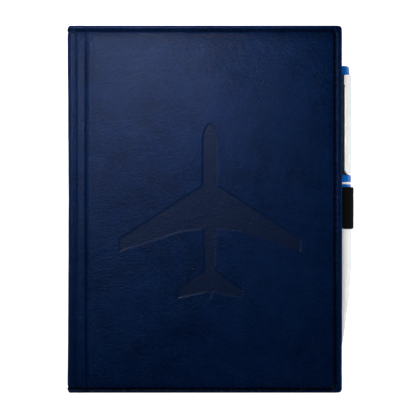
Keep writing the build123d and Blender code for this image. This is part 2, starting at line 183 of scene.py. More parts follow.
class Nodes:
    """A short way to write a node material: each call adds a node and returns it."""

    def __init__(self, name):
        self.material = bpy.data.materials.new(name)
        self.material.use_nodes = True
        self.tree = self.material.node_tree
        self.shader = self.tree.nodes["Principled BSDF"]
        self.coords = self.tree.nodes.new("ShaderNodeTexCoord").outputs["Object"]

    def link(self, source, target):
        self.tree.links.new(source, target)

    def add(self, kind, output, links, **constants):
        """Adds a node, links and sets its inputs, and returns one of its outputs."""
        node = self.tree.nodes.new("ShaderNode" + kind)
        set_inputs(node, **constants)
        for name, source in links.items():
            self.link(source, node.inputs[name])
        return node.outputs[output]

    def noise(self, scale, detail=3.0, roughness=0.55, coords=None):
        links = {"Vector": coords or self.coords}
        return self.add("TexNoise", "Fac", links, Scale=scale, Detail=detail, Roughness=roughness)

    def cells(self, scale, feature="F1"):
        node = self.tree.nodes.new("ShaderNodeTexVoronoi")
        node.feature = feature
        set_inputs(node, Scale=scale)
        self.link(self.coords, node.inputs["Vector"])
        return node.outputs["Distance"]

    def stretched(self, scale):
        return self.add("Mapping", "Vector", {"Vector": self.coords}, Scale=scale)

    def axis(self, name):
        return self.add("SeparateXYZ", name, {"Vector": self.coords})

    def math(self, operation, *values):
        node = self.tree.nodes.new("ShaderNodeMath")
        node.operation = operation
        for socket, value in zip(node.inputs, values):
            if isinstance(value, (int, float)):
                socket.default_value = value
            else:
                self.link(value, socket)
        return node.outputs["Value"]

    def wave(self, value, pitch):
        return self.math("SINE", self.math("MULTIPLY", value, 2 * math.pi / pitch))

    def total(self, *parts):
        """Sum of (value, weight) pairs."""
        terms = [self.math("MULTIPLY", value, weight) for value, weight in parts]
        result = terms[0]
        for term in terms[1:]:
            result = self.math("ADD", result, term)
        return result

    def span(self, value, low, high, to_low=0.0, to_high=1.0):
        ends = dict(From_Min=low, From_Max=high, To_Min=to_low, To_Max=to_high)
        return self.add("MapRange", "Result", {"Value": value}, **ends)

    def blend(self, factor, a, b):
        node = self.tree.nodes.new("ShaderNodeMix")
        node.data_type = "RGBA"
        self.link(factor, node.inputs["Factor"])
        for identifier, value in (("A_Color", a), ("B_Color", b)):
            socket = next(s for s in node.inputs if s.identifier == identifier)
            if isinstance(value, tuple):
                socket.default_value = (*value, 1)
            else:
                self.link(value, socket)
        return next(s for s in node.outputs if s.identifier == "Result_Color")

    def attribute(self, name):
        node = self.tree.nodes.new("ShaderNodeAttribute")
        node.attribute_name = name
        return node.outputs["Fac"]

    def bump(self, height, distance, strength=1.0, under=None):
        links = {"Height": height} if under is None else {"Height": height, "Normal": under}
        return self.add("Bump", "Normal", links, Strength=strength, Distance=distance)

    def surface(self, color, rough, normal, **constants):
        """Wires the shader; constants are set on the shader's own sockets."""
        for socket, value in (("Base Color", color), ("Roughness", rough), ("Normal", normal)):
            self.link(value, self.shader.inputs[socket])
        set_inputs(self.shader, **constants)
        return self.material


def leather_material(name, dark, light, pressed=None):
    """Navy leatherette: pebbled grain, fine pores and creases, cloudy colour and sheen; with a pressed
    colour, also the airliner's tint and painted shade.
    """
    n = Nodes(name)
    pebble = n.math("SUBTRACT", 1.0, n.cells(2200.0, "SMOOTH_F1"))
    fine = n.cells(3600.0)
    crease = n.noise(420.0, 4.0, 0.6)
    grain = n.noise(900.0, 2.0, 0.6, n.stretched((0.7, 1.2, 1.0)))
    cloud = n.noise(95.0, 4.0, 0.6)
    broad = n.noise(26.0, 2.0, 0.5)
    mottle = n.total((cloud, 0.35), (broad, 0.25), (grain, 0.4))
    color = n.blend(n.span(mottle, 0.39, 0.61), dark, light)
    rough = n.span(n.total((cloud, 0.5), (crease, 0.5)), 0.3, 0.7, 0.46, 0.56)
    if pressed:
        color = n.blend(n.attribute("pressed"), color, pressed)
        # painted shade from the 'shade' mask: darker in the seam's channel, the hinge's creases and along the
        # head
        color = n.blend(n.attribute("shade"), color, NAVY_PAINTED_SHADE)
    normal = None
    layers = ((crease, 0.24, 0.8), (grain, 0.27, 0.8), (pebble, 0.15, 0.9), (fine, 0.05, 0.7))
    for height, depth, strength in layers:
        normal = n.bump(height, depth * MM, strength, normal)
    n.link(normal, n.shader.inputs["Coat Normal"])
    return n.surface(color, rough, normal, Specular_IOR_Level=0.0, Coat_Weight=0.15, Coat_Roughness=0.15)


def thread_material(name, dark, light, pitch=0.45 * MM):
    """Twisted thread: slanting plies and fuzz."""
    n = Nodes(name)
    along = n.math("ADD", n.axis("X"), n.math("ADD", n.axis("Y"), n.axis("Z")))
    ply = n.wave(along, pitch)
    fuzz = n.noise(5200.0, 3.0)
    color = n.blend(n.span(n.math("ADD", n.math("MULTIPLY", ply, 0.3), fuzz), 0.1, 0.95), dark, light)
    normal = n.bump(ply, 0.05 * MM, 0.8)
    return n.surface(color, n.span(fuzz, 0.3, 0.7, 0.5, 0.7), normal, Specular_IOR_Level=0.12)


def woven_material(name, dark, light, pitch=0.55 * MM, depth=0.05 * MM):
    """Plain woven lining: crossing yarns with slubs."""
    n = Nodes(name)
    warp = n.wave(n.axis("X"), pitch)
    weft = n.wave(n.axis("Y"), pitch)
    cross = n.math("MULTIPLY", warp, weft)
    slub = n.noise(700.0, 3.0, 0.6)
    color = n.blend(n.span(n.math("ADD", n.math("MULTIPLY", cross, 0.25), slub), 0.2, 0.8), dark, light)
    normal = n.bump(n.math("ADD", cross, n.math("MULTIPLY", slub, 1.5)), depth, 0.7)
    return n.surface(color, n.span(slub, 0.3, 0.7, 0.7, 0.88), normal, Sheen_Weight=0.2)


def elastic_material():
    """Black ribbed elastic: fine yarn on the modelled ribs."""
    n = Nodes("elastic")
    yarn = n.noise(900.0, 2.0, 0.5, n.stretched((1.0, 5.0, 1.0)))
    knit = n.cells(2600.0)
    color = n.blend(n.span(yarn, 0.3, 0.7), (0.0003, 0.0003, 0.0004), (0.0012, 0.0012, 0.0014))
    normal = n.bump(knit, 0.06 * MM, 0.6)
    return n.surface(color, n.span(yarn, 0.3, 0.7, 0.75, 0.9), normal, Specular_IOR_Level=0.06)


def plastic_material(name, color, shade, rough=0.16, coat=0.0):
    """Moulded plastic: faint flow marks, fine scuffs and a slightly uneven gloss."""
    n = Nodes(name)
    flow = n.noise(60.0, 2.0, 0.5, n.stretched((1.0, 0.25, 1.0)))
    scuff = n.noise(1600.0, 3.0, 0.7, n.stretched((1.0, 0.12, 1.0)))
    tint = n.blend(n.span(flow, 0.3, 0.7), shade, color)
    gloss = n.span(scuff, 0.35, 0.7, rough, rough + 0.12)
    return n.surface(tint, gloss, n.bump(scuff, 0.004 * MM, 0.5), Coat_Weight=coat)


def metal_material(name, color):
    """Turned metal: fine rings round the pen's axis."""
    n = Nodes(name)
    rings = n.noise(900.0, 2.0, 0.5, n.stretched((0.1, 4.0, 0.1)))
    tint = n.blend(n.span(rings, 0.3, 0.7), tuple(0.8 * c for c in color), color)
    return n.surface(tint, n.span(rings, 0.3, 0.7, 0.18, 0.34), n.bump(rings, 0.01 * MM, 0.6), Metallic=1.0)


def paper_material(name, dark, light):
    """Uncoated paper with fibre and ledger rules."""
    n = Nodes(name)
    fibre = n.noise(2600.0, 4.0, 0.65)
    color = n.blend(n.span(n.noise(45.0, 2.0), 0.3, 0.7), dark, light)
    x, y = n.axis("X"), n.axis("Y")
    in_x = n.math("LESS_THAN", n.math("ABSOLUTE", n.math("ADD", x, RULED_OFFSET)), RULED_HALF_X)
    in_y = n.math("LESS_THAN", n.math("ABSOLUTE", y), RULED_HALF_Y)
    inside = n.math("MULTIPLY", in_x, in_y)
    for value, pitch, width, ink in (
        (y, 7.0 * MM, 0.035, (0.28, 0.42, 0.62)),
        (x, 13.5 * MM, 0.02, (0.62, 0.22, 0.20)),
    ):
        phase = n.math("FRACT", n.math("DIVIDE", n.math("ADD", value, 1.0), pitch))
        line = n.math("MULTIPLY", n.math("LESS_THAN", phase, width), inside)
        color = n.blend(line, color, ink)
    normal = n.bump(fibre, 0.02 * MM, 0.5)
    return n.surface(color, n.span(fibre, 0.3, 0.7, 0.78, 0.92), normal, Specular_IOR_Level=0.25)


def card_material():
    """Pressed board with flecks."""
    n = Nodes("card")
    fleck = n.noise(1500.0, 3.0, 0.7)
    tone = n.noise(80.0, 2.0)
    color = n.blend(n.span(fleck, 0.35, 0.7), (0.42, 0.35, 0.25), (0.66, 0.58, 0.44))
    normal = n.bump(n.math("ADD", fleck, tone), 0.02 * MM, 0.5)
    return n.surface(color, n.span(tone, 0.3, 0.7, 0.75, 0.9), normal)


NAVY_DARK = (0.0008, 0.0090, 0.0420)
NAVY_LIGHT = (0.0028, 0.0182, 0.0800)
NAVY_PRESSED = (0.0062, 0.0155, 0.0510)
# painted shade: the colour the leatherette is darkened towards in the seam's channel, the hinge's creases and
# along the head
NAVY_PAINTED_SHADE = (0.0003, 0.0016, 0.0065)
M_LEATHER = leather_material("leatherette", NAVY_DARK, NAVY_LIGHT, NAVY_PRESSED)
M_POCKET = leather_material("pocket_leatherette", (0.002, 0.010, 0.034), (0.004, 0.016, 0.050))
M_THREAD = thread_material("navy_thread", (0.0002, 0.0010, 0.0045), (0.0008, 0.0040, 0.0150))
M_COTTON = thread_material("sewing_thread", (0.50, 0.47, 0.40), (0.82, 0.79, 0.70))
M_LINING = woven_material("lining", (0.002, 0.005, 0.014), (0.008, 0.016, 0.036))
M_TAPE = woven_material("tape", (0.52, 0.49, 0.42), (0.78, 0.75, 0.66), 0.8 * MM)
M_ELASTIC = elastic_material()
M_BLUE = plastic_material("pen_blue", (0.0012, 0.098, 0.40), (0.0008, 0.080, 0.34), 0.14, 0.3)
M_WHITE = plastic_material("pen_white", (0.68, 0.68, 0.68), (0.64, 0.64, 0.64), 0.2, 0.2)
M_BLACK = plastic_material("pen_black", (0.018, 0.018, 0.020), (0.010, 0.010, 0.011), 0.2, 0.2)
M_MECHANISM = plastic_material("mechanism", (0.50, 0.52, 0.55), (0.40, 0.42, 0.45), 0.4)
M_BRASS = metal_material("refill_metal", (0.72, 0.55, 0.27))
M_RULED = paper_material("ruled_leaf", (0.70, 0.67, 0.57), (0.80, 0.77, 0.67))
M_CARD = card_material()


# ---------------- recessed aeroplane
PLANE_RIGHT = (
    (3.6, 33.0), (3.6, 13.0), (44.0, -13.0), (44.0, -19.0), (13.0, -9.0), (3.4, -8.0),
    (2.6, -28.0), (15.5, -37.5), (15.5, -41.5), (1.6, -38.5), (0.0, -42.0),
)
PLANE_NOSE = 43.0


def plane_outline():
    """Half outline of a generic airliner from above, nose to tail, in metres."""
    side_x, side_y = PLANE_RIGHT[0]
    turn = np.linspace(0, math.pi / 2, 9)[:-1]
    nose = [(side_x * math.sin(a), side_y + (PLANE_NOSE - side_y) * math.cos(a)) for a in turn]
    return np.array(nose + list(PLANE_RIGHT)) * MM


def recess_distance(x, y):
    """Signed distance to the aeroplane's outline, positive inside."""
    px = np.abs(x - RECESS_AT[0])
    py = y - RECESS_AT[1]
    half = plane_outline()
    full = np.vstack([half, half[-2:0:-1] * (-1, 1)])
    nearest = np.full(px.shape, 1.0)
    inside = np.zeros(px.shape, bool)
    for (ax, ay), (bx, by) in zip(full, np.roll(full, -1, axis=0)):
        dx, dy = bx - ax, by - ay
        t = np.clip(((px - ax) * dx + (py - ay) * dy) / (dx * dx + dy * dy), 0, 1)
        nearest = np.minimum(nearest, np.hypot(px - ax - t * dx, py - ay - t * dy))
        if ay != by:
            crosses = (ay > py) != (by > py)
            inside ^= crosses & (px < ax + (py - ay) * dx / dy)
    return np.where(inside, nearest, -nearest)


# ---------------- cover surface
def seam_distance(x, y):
    """Distance inside the stitch line, negative on the border."""
    ex = FORE_X - SEAM_FORE - x
    ey = np.minimum(HALF_L - SEAM_HEAD - y, y + HALF_L - SEAM_TAIL)
    corner = SEAM_CORNER_R - np.hypot(SEAM_CORNER_R - ex, SEAM_CORNER_R - ey)
    return np.where((ex < SEAM_CORNER_R) & (ey < SEAM_CORNER_R), corner, np.minimum(ex, ey))


def seam_wave(x, y, run):
    """1 in the middle of each stitch and -1 at each needle hole, along whichever seam is nearer."""
    on_fore = (FORE_X - SEAM_FORE - x) < np.minimum(HALF_L - SEAM_HEAD - y, y + HALF_L - SEAM_TAIL)
    along = np.where(on_fore, y, run)
    return -np.cos(2 * math.pi * along / STITCH_PITCH)


def edge_height(e, wave, u):
    """Height near the perimeter: welted border, sewn channel and the pad's long shoulder."""
    padding = 0.2 + 0.8 * smoothstep(0, 5 * MM, u)
    relief = 0.45 + 0.55 * smoothstep(-1 * MM, 3 * MM, u)
    border = 0.32 * MM * np.sin(np.clip(-e / (2.6 * MM), 0, 1) * math.pi) ** 0.8
    inside = np.maximum(e, 0)
    shoulder = 0.5 * np.exp(-inside / (1.3 * MM)) + 0.5 * np.exp(-inside / (7.5 * MM))
    channel = 0.5 * MM * bell(e, 0, 0.55 * MM)
    pucker = 0.07 * MM * wave * bell(e, 0, 1.5 * MM)
    hole = 0.16 * MM * np.clip(-wave, 0, 1) ** 3 * bell(e, 0, 0.4 * MM)
    return -BORDER_DROP * shoulder * padding + (border - channel) * relief + pucker - hole


def hinge_height(u):
    """Height over the hinge strip, at distance u from the spine edge."""
    base = -0.42 * MM * (1 - smoothstep(9.3 * MM, 13.5 * MM, u))
    groove = -0.28 * MM * bell(u, GROOVE_AT, 0.8 * MM)
    ridge = 0.36 * MM * np.exp(-(((u - 6.5 * MM) / (2.1 * MM)) ** 4))
    lip = 0.12 * MM * bell(u, 8.15 * MM, 0.3 * MM)
    crease = -0.5 * MM * bell(u, CREASE_AT, 0.36 * MM)
    bead = 0.22 * MM * bell(u, 10.6 * MM, 0.75 * MM)
    return (base + groove + ridge + lip + crease + bead) * smoothstep(-0.5 * MM, 1.8 * MM, u)


def painted_shade(u, x, y, run):
    """Painted shade: how much darker the leatherette is painted in the seam's channel, in the hinge's creases
    and along the head.
    """
    seam = bell(seam_distance(x, y), 0, 0.95 * MM) * (0.72 + 0.27 * seam_wave(x, y, run))
    creases = np.maximum(0.3 * bell(u, GROOVE_AT, 0.9 * MM), 0.6 * bell(u, CREASE_AT, 0.4 * MM))
    # painted shade just inside the head's seam, where the pad's shoulder turns from the light
    rim = 0.4 * bell(HALF_L - SEAM_HEAD - y, 1.0 * MM, 3.2 * MM)
    return np.maximum(np.maximum(seam, creases), rim)


def cover_height(u, x, y, run, marked):
    """Height of the leatherette over the cover's outer face, and how far it is pressed."""
    e = seam_distance(x, y)
    near = edge_height(e, seam_wave(x, y, run), u)
    field = np.clip(1 + near / BORDER_DROP, 0, 1)
    height = near + hinge_height(u) * (0.4 + 0.6 * field)
    height += 0.045 * MM * ripples(x, y, 26 * MM, 9, 3) * field
    height += 0.014 * MM * ripples(x, y, 7 * MM, 12, 4) * field
    pressed = np.zeros_like(x)
    if marked:
        pressed = smoothstep(-RECESS_WALL / 2, RECESS_WALL / 2, recess_distance(x, y))
        height -= RECESS_DEPTH * pressed
    return height, pressed


def corner_warp(x, y):
    """Bends a square grid's fore-edge corners round to the cover's rounded ones."""
    r = CORNER_R - EDGE_R
    size = 4 * MM
    cx = FORE_X - EDGE_R - size
    cy = HALF_L - EDGE_R - size
    u = np.clip(x - cx, 0, None) / size
    v = np.clip(np.abs(y) - cy, 0, None) / size
    angle = np.arctan2(v, u)
    square = 1 / np.maximum(np.cos(angle), np.sin(angle))
    k = 1 - r / size
    c, s = np.cos(angle), np.sin(angle)
    b = k * (c + s)
    arc = b + np.sqrt(np.maximum(b * b - 2 * k * k + (r / size) ** 2, 0))
    on_arc = (square * c > k) & (square * s > k)
    limit = np.where(on_arc, np.minimum(arc, square), square)
    rho = np.hypot(u, v)
    scale = 1 - (1 - limit / square) * (rho / square) ** 3
    inside = (u > 0) & (v > 0)
    new_x = np.where(inside, cx + u * scale * size, x)
    new_y = np.where(inside, np.sign(y) * (cy + v * scale * size), y)
    return new_x, new_y


def outward(x, y, flat):
    """Unit vector in the cover's plane that points out of its head, tail or fore-edge."""
    cx = FORE_X - CORNER_R
    cy = HALF_L - CORNER_R
    vx = np.where(flat, np.clip(x - cx, 0, None), 0)
    vy = np.where(np.abs(y) > cy, np.sign(y) * (np.abs(y) - cy), 0)
    length = np.maximum(np.hypot(vx, vy), 1e-9)
    return vx / length, vy / length


def wrap(name, front):
    """The leatherette over one cover, its roll and half the spine, turned in over every edge."""
    half_spine = spaced([(0.0, SPINE_STEP), (TOP / 2 - ROLL_R, SPINE_STEP)])
    roll = np.linspace(0, math.pi / 2, 13)[1:]
    stops = [(ROLL_X, FINE_STEP), (BOARD_X + 4 * MM, COVER_STEP), (FORE_X - EDGE_ZONE, FINE_STEP),
             (FORE_X - EDGE_R, 1)]
    row_stops = [(-HALF_L + EDGE_R, FINE_STEP), (-HALF_L + EDGE_ZONE, COVER_STEP),
                 (HALF_L - EDGE_ZONE, FINE_STEP), (HALF_L - EDGE_R, 1)]
    if front:
        for out, at, low, high in ((stops, RECESS_AT[0], 45, 45), (row_stops, RECESS_AT[1], 43, 44)):
            out[2:2] = [(at - low * MM, RECESS_STEP), (at + high * MM, COVER_STEP)]
    flat = spaced(stops)[1:]
    spine_n, flat_n = len(half_spine), len(flat)
    xs = np.concatenate([np.full(spine_n, SPINE_X), ROLL_X - ROLL_R * np.cos(roll), flat])
    ws = np.concatenate([TOP / 2 - half_spine, ROLL_R - ROLL_R * np.sin(roll), np.zeros(flat_n)])
    nx = np.concatenate([np.full(spine_n, -1.0), -np.cos(roll), np.zeros(flat_n)])
    nw = np.concatenate([np.zeros(spine_n), -np.sin(roll), np.full(flat_n, -1.0)])
    rows = spaced(row_stops)
    x, y = np.meshgrid(xs, rows, indexing="ij")
    w, nx, nw = (np.repeat(v[:, None], len(rows), 1) for v in (ws, nx, nw))
    is_flat = w <= 1e-9
    x, y = corner_warp(x, y)
    u = np.where(is_flat, x - SPINE_X, ROLL_R - w)
    run = np.where(is_flat, u, u * STITCH_PITCH * SPINE_STITCHES / (TOP - 2 * ROLL_R))
    height, pressed = cover_height(u, x, y, run, front)
    pinch = SPINE_PINCH * (1 - (y / HALF_L) ** 2) - SPINE_SWELL
    px = x + nx * height + pinch * (1 - smoothstep(2 * MM, 9 * MM, np.maximum(u, 0)))
    into_corner = np.clip(1 - (x - SPINE_X) / SPINE_CORNER_R, 0, 1)
    y = y * (1 - SPINE_CORNER_R * (1 - np.sqrt(1 - into_corner ** 2)) / HALF_L)
    pw = w + nw * height

    # path round the open edge: head, fore-edge, tail
    cols, count = x.shape
    path = [i * count + count - 1 for i in range(cols)]
    path += [(cols - 1) * count + j for j in range(count - 2, -1, -1)]
    path += [i * count for i in range(cols - 2, -1, -1)]
    path = np.array(path)
    ex, bx, by, bw, bnx, bnw, flat_edge = (v.ravel()[path] for v in (x, px, y, pw, nx, nw, is_flat))
    ox, oy = outward(ex, by, flat_edge)
    in_board = smoothstep(BOARD_X - 1.2 * MM, BOARD_X + 0.4 * MM, ex)
    depth = TURN_DEPTH + (WRAP_T - BORDER_DROP - TURN_DEPTH) * in_board
    drop = np.minimum(EDGE_R, depth * 0.45)
    low_r = 0.5 * drop
    rings = [(EDGE_R * math.sin(a), drop * (1 - math.cos(a))) for a in np.radians((18, 36, 54, 72, 90))]
    rings.append((EDGE_R, depth - low_r))
    for a in np.radians((30, 60, 90)):
        rings.append((EDGE_R - low_r * (1 - math.cos(a)), depth - low_r * (1 - math.sin(a))))
    rings.append((EDGE_R - TURN_IN, depth))
    points = [np.stack([px.ravel(), y.ravel(), pw.ravel()], 1)]
    for out, down in rings:
        points.append(np.stack([bx + out * ox - down * bnx, by + out * oy, bw - down * bnw], 1))
    points = np.vstack(points)
    faces = grid_faces(cols, count)
    before = path
    for k in range(len(rings)):
        ring = cols * count + k * len(path) + np.arange(len(path))
        faces += [(before[i], before[i + 1], ring[i + 1], ring[i]) for i in range(len(path) - 1)]
        before = ring
    points[:, 2] = TOP - points[:, 2] if front else points[:, 2]
    obj = mesh_object(name, points, [tuple(int(v) for v in f) for f in faces], M_LEATHER)
    # 'pressed' tints the airliner's recess; 'shade' is painted shade in the seam's channel, the hinge's
    # creases and along the head
    for mask, values in (("pressed", pressed), ("shade", painted_shade(u, x, y, run))):
        spread = np.zeros(len(points), np.float32)
        spread[: cols * count] = values.ravel()
        obj.data.attributes.new(mask, "FLOAT", "POINT").data.foreach_set("value", spread)
    return obj


def build_wraps():
    for name, front, body in (("front_wrap", True, "front_cover"), ("back_wrap", False, "back_cover")):
        obj = wrap(name, front)
        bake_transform(obj)
        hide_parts(body + "_skin", body.replace("cover", "foam_pad"), body.replace("cover", "board"))
        if front:
            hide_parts("spine_skin", "spine_stiffener")


# ---------------- shells, tubes and turned shapes
def unit(v):
    return v / np.maximum(np.linalg.norm(v, axis=-1, keepdims=True), 1e-12)


def joined(name, shells, material, smooth_angle=math.radians(180)):
    """One mesh object from several (points, faces) lists."""
    points, faces, start = [], [], 0
    for shell_points, shell_faces in shells:
        points.append(shell_points)
        faces += [tuple(int(v) + start for v in face) for face in shell_faces]
        start += len(shell_points)
    return mesh_object(name, np.vstack(points), faces, material, smooth_angle)


def piece(name, shells, material, body, slot, *nodes, angle=180):
    """One named piece: the body it rides on, its finish, and the CAD nodes it stands for."""
    obj = joined(name, shells, material, math.radians(angle))
    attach(obj, body)
    if nodes:
        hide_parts(*nodes)


def sheet_shell(centre, normal, thickness, bulge=0.5):
    """A sheet of some thickness round a grid of centre points, with a rounded border."""
    cols, rows, _ = centre.shape
    normal = np.broadcast_to(normal, centre.shape)
    thickness = np.broadcast_to(np.asarray(thickness, float), (cols, rows))[..., None]
    top = (centre + normal * thickness / 2).reshape(-1, 3)
    bottom = (centre - normal * thickness / 2).reshape(-1, 3)
    border = [(i, 0) for i in range(cols - 1)] + [(cols - 1, j) for j in range(rows - 1)]
    border += [(i, rows - 1) for i in range(cols - 1, 0, -1)] + [(0, j) for j in range(rows - 1, 0, -1)]
    at = np.array(border)
    inner = np.clip(at, 1, (cols - 2, rows - 2))
    edge = centre[at[:, 0], at[:, 1]]
    out = unit(edge - centre[inner[:, 0], inner[:, 1]])
    middle = edge + out * thickness[at[:, 0], at[:, 1]] * bulge
    count = cols * rows
    ring = at[:, 0] * rows + at[:, 1]
    faces = grid_faces(cols, rows)
    faces += [tuple(count + v for v in reversed(face)) for face in grid_faces(cols, rows)]
    n = len(ring)
    for k in range(n):
        m = (k + 1) % n
        faces.append((ring[k], ring[m], 2 * count + m, 2 * count + k))
        faces.append((2 * count + k, 2 * count + m, count + ring[m], count + ring[k]))
    return np.vstack([top, bottom, middle]), faces


def swept(path, rows):
    """Centres and normals of a sheet that follows an (x, z) path and runs straight along Y."""
    path = np.asarray(path, float)
    tangent = unit(np.gradient(path, axis=0))
    centre = np.zeros((len(path), len(rows), 3))
    centre[..., 0] = path[:, None, 0]
    centre[..., 1] = rows[None, :]
    centre[..., 2] = path[:, None, 1]
    normal = np.zeros_like(centre)
    normal[..., 0] = -tangent[:, None, 1]
    normal[..., 2] = tangent[:, None, 0]
    return centre, normal


def square_to(path):
    """Two directions square to a path and to each other, at each of its points."""
    tangent = unit(np.gradient(path, axis=0))
    side = unit(np.cross(tangent, SIDE_HINT))
    return side, np.cross(tangent, side)


def ring_faces(i, j, count):
    """Quads between rings i and j of a surface that has this many points in a ring."""
    ends = [(k, (k + 1) % count) for k in range(count)]
    return [(i * count + k, i * count + m, j * count + m, j * count + k) for k, m in ends]


def tube_shell(path, radius, sides=6):
    """A round strand along a path of points."""
    side, up = square_to(path)
    turn = np.arange(sides) * 2 * math.pi / sides
    ring = side[:, None] * np.cos(turn)[None, :, None] + up[:, None] * np.sin(turn)[None, :, None]
    points = (path[:, None] + radius * ring).reshape(-1, 3)
    faces = []
    for i in range(len(path) - 1):
        faces += ring_faces(i, i + 1, sides)
    last = (len(path) - 1) * sides
    faces += [tuple(range(sides)), tuple(last + k for k in reversed(range(sides)))]
    return points, faces


def twisted(path, radius, twist, phase=0.0):
    """Two strands laid round each other along a path."""
    path = np.asarray(path, float)
    side, up = square_to(path)
    along = np.concatenate([[0], np.cumsum(np.linalg.norm(np.diff(path, axis=0), axis=1))])
    shells = []
    for start in (0, math.pi):
        turn = (2 * math.pi * along / twist + start + phase)[:, None]
        offset = 0.45 * radius * (side * np.cos(turn) + up * np.sin(turn))
        shells.append(tube_shell(path + offset, 0.6 * radius))
    return shells


def stitch(centre, along, up, length=STITCH_LENGTH, radius=STITCH_R, phase=0.0):
    """A short twisted thread that rises out of one needle hole and goes down the next."""
    t = np.linspace(-1, 1, 9)
    arch = 0.5 * radius + 1.3 * radius * (np.sqrt(np.clip(1 - t * t, 0, 1)) - 0.75)
    path = np.asarray(centre) + np.outer(t * length / 2, along) + np.outer(arch, up)
    return twisted(path, radius, 1.5 * MM, phase)


def lathe_shell(profile, segments):
    """A ring of surface round the pen's axis, from a closed list of (y, radius) points."""
    profile = np.asarray(profile, float)
    turn = np.arange(segments) * 2 * math.pi / segments
    x = PEN_X + profile[:, None, 1] * np.sin(turn)
    z = PEN_Z + profile[:, None, 1] * np.cos(turn)
    y = np.broadcast_to(profile[:, None, 0], x.shape)
    points = np.stack([x, y, z], -1).reshape(-1, 3)
    faces = []
    count = len(profile)
    for i in range(count):
        j = (i + 1) % count
        if profile[i, 1] != 0 or profile[j, 1] != 0:
            faces += ring_faces(i, j, segments)
    return points, faces


def softened(points, radius):
    """A closed polygon with each corner cut by a small arc."""
    out = []
    count = len(points)
    for i, point in enumerate(points):
        before, after = np.array(points[i - 1]), np.array(points[(i + 1) % count])
        here = np.array(point, float)
        if here[1] == 0:
            out.append(here)
            continue
        a, b = before - here, after - here
        reach = min(radius, 0.45 * np.linalg.norm(a), 0.45 * np.linalg.norm(b))
        start, end = here + unit(a) * reach, here + unit(b) * reach
        for t in np.linspace(0, 1, 5):
            out.append((1 - t) ** 2 * start + 2 * t * (1 - t) * here + t * t * end)
    return out


def quarter_turn(radius, count):
    """How far each point of a quarter turn lies short of the square corner, one way and the other."""
    turn = np.linspace(0, math.pi / 2, count)
    return [(radius * (1 - math.sin(a)), radius * (1 - math.cos(a))) for a in turn]


# ---------------- stitching of the covers
def height_at(u, x, y, run):
    """Height of the leatherette at one point, away from the airliner."""
    height, _ = cover_height(*(np.array([v]) for v in (u, x, y, run)), False)
    return height[0]


def seam_stitches(front):
    """Stitches down the sewn channel of one cover."""
    z0, side = (TOP, 1) if front else (0.0, -1)
    shells = []

    def lay(x, y, along):
        turn = math.radians(rng.uniform(-3, 3))
        c, s = math.cos(turn), math.sin(turn)
        way = (along[0] * c - along[1] * s, along[0] * s + along[1] * c, 0)
        centre = (x, y, z0 + side * height_at(x - SPINE_X, x, y, x - SPINE_X))
        length = STITCH_LENGTH * rng.uniform(0.95, 1.03)
        shells.extend(stitch(centre, way, (0, 0, side), length, STITCH_R, rng.uniform(0, 6)))

    seam_x = FORE_X - SEAM_FORE
    for y in (HALF_L - SEAM_HEAD, SEAM_TAIL - HALF_L):
        k = 1
        while SPINE_X + (k + 0.5) * STITCH_PITCH < seam_x - 0.6 * STITCH_PITCH:
            lay(SPINE_X + (k + 0.5) * STITCH_PITCH, y, (1, 0))
            k += 1
    rows = int(2 * (HALF_L - SEAM_HEAD) / STITCH_PITCH) // 2
    for k in range(-rows, rows):
        lay(seam_x, (k + 0.5) * STITCH_PITCH, (0, 1))
    return shells


def spine_stitches():
    """Stitches that carry the seam across the spine at the head and the tail."""
    pitch = (TOP - 2 * ROLL_R) / SPINE_STITCHES
    shells = []
    for y in (HALF_L - SEAM_HEAD, SEAM_TAIL - HALF_L):
        for k in range(SPINE_STITCHES):
            z = ROLL_R + (k + 0.5) * pitch
            u = ROLL_R - (TOP - z if z > TOP / 2 else z)
            height = height_at(u, SPINE_X, y, u * STITCH_PITCH / pitch)
            pinch = SPINE_PINCH * (1 - (y / HALF_L) ** 2)
            centre = (SPINE_X - height + pinch, y, z)
            shells.extend(stitch(centre, (0, 0, 1), (-1, 0, 0), STITCH_LENGTH, STITCH_R, rng.uniform(0, 6)))
    return shells


# ---------------- linings, pockets and end cards
def panel_z(front, depth):
    """Height in the frame of a point that lies this deep under a cover's outer face."""
    return TOP - depth if front else depth


def build_lining(front):
    """Woven lining glued over the board, down its edge and on over the hinge to the middle of the spine."""
    half_t = 0.2 * MM
    face = PANEL_T - half_t
    strip = face - 1.8 * MM
    spine_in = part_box("spine_lining")[0].x + half_t
    bend = 0.35 * MM
    corner = 0.9 * MM
    inset = 1.1 * MM
    step_x = BOARD_X - half_t
    path = [(x, face) for x in np.linspace(FORE_X - inset, BOARD_X + 0.5 * MM, 60)]
    path += [(step_x + s, face - c) for s, c in quarter_turn(bend, 6)]
    path += [(step_x - c, strip + s) for s, c in quarter_turn(bend, 6)]
    path += [(x, strip) for x in np.linspace(step_x - 1 * MM, spine_in + corner + 0.8 * MM, 12)]
    path += [(spine_in + s, strip + c) for s, c in quarter_turn(corner, 10)]
    path += [(spine_in, w) for w in np.linspace(strip + corner + 0.6 * MM, TOP / 2, 12)]
    path = np.array(path)
    path[:, 1] = [panel_z(front, w) for w in path[:, 1]]
    rows = spaced([(-HALF_L + inset, 2.5 * MM), (HALF_L - inset, 1)])
    centre, normal = swept(path, rows)
    centre += normal * (0.02 * MM * ripples(centre[..., 0], centre[..., 1], 9 * MM, 8, 11))[..., None]
    name = "front" if front else "back"
    obj = joined(name + "_lining_cloth", [sheet_shell(centre, normal, 2 * half_t)], M_LINING)
    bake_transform(obj)
    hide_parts(name + "_lining", *(["spine_lining"] if front else []))


